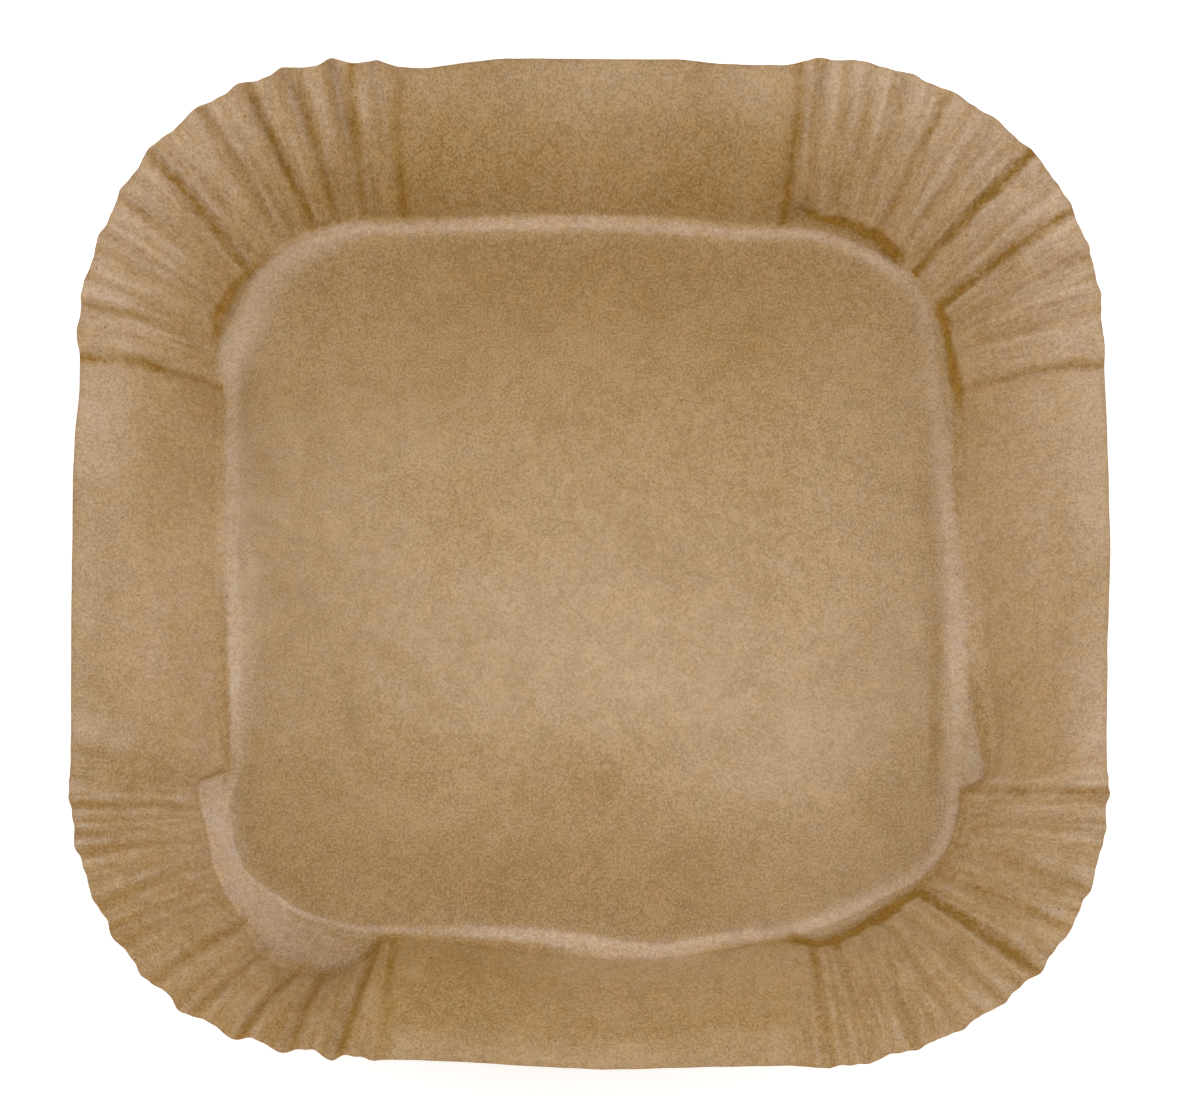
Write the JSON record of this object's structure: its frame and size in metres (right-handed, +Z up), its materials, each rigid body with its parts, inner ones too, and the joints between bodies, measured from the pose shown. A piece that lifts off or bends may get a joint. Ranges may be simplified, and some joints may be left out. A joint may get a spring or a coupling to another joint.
{
  "type": "air fryer paper liner",
  "caption": "Shallow rounded-square dish of pressed baking paper with a flat base and a flared wall, pleated at the corners, that lines an air fryer basket.",
  "frame": {"origin": "middle of the base's underside, where the liner rests on the basket floor", "axes": "+Z up out of the open side, X and Y along the straight sides of the base"},
  "size_m": [0.2203, 0.2189, 0.037],
  "materials": {
    "kraft_paper": "unbleached greaseproof paper, matt with a faint sheen"
  },
  "bodies": {
    "root": {"liner": "kraft_paper"}
  },
  "joints": []
}
